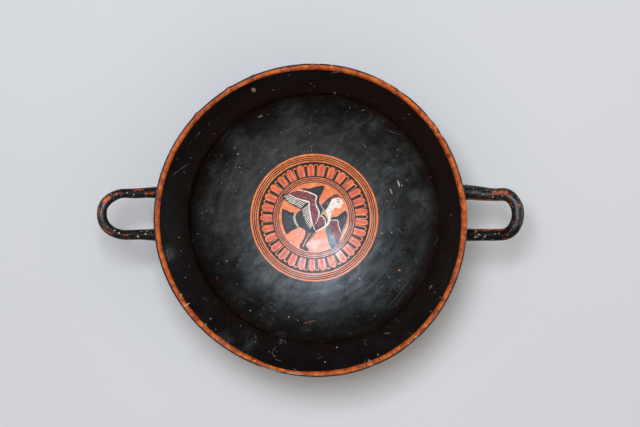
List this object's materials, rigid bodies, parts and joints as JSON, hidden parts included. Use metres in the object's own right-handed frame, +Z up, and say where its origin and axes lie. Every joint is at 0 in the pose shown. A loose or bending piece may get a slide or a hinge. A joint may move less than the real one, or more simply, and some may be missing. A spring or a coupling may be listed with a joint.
{
  "type": "greek kylix cup",
  "caption": "Wide stemmed drinking cup of painted clay with an offset flaring lip, looped side handles and a hollow conical foot.",
  "frame": {"origin": "middle of the foot's resting plane, on the axis that the cup was turned on", "axes": "+X through the right handle when the painted figure stands upright, +Y towards the top of that picture, +Z up"},
  "size_m": [0.3478, 0.25, 0.13],
  "materials": {
    "glossed_clay": "satin black slip, with reserved orange clay and added red and white"
  },
  "bodies": {
    "root": {"kylix": "glossed_clay"}
  },
  "joints": []
}
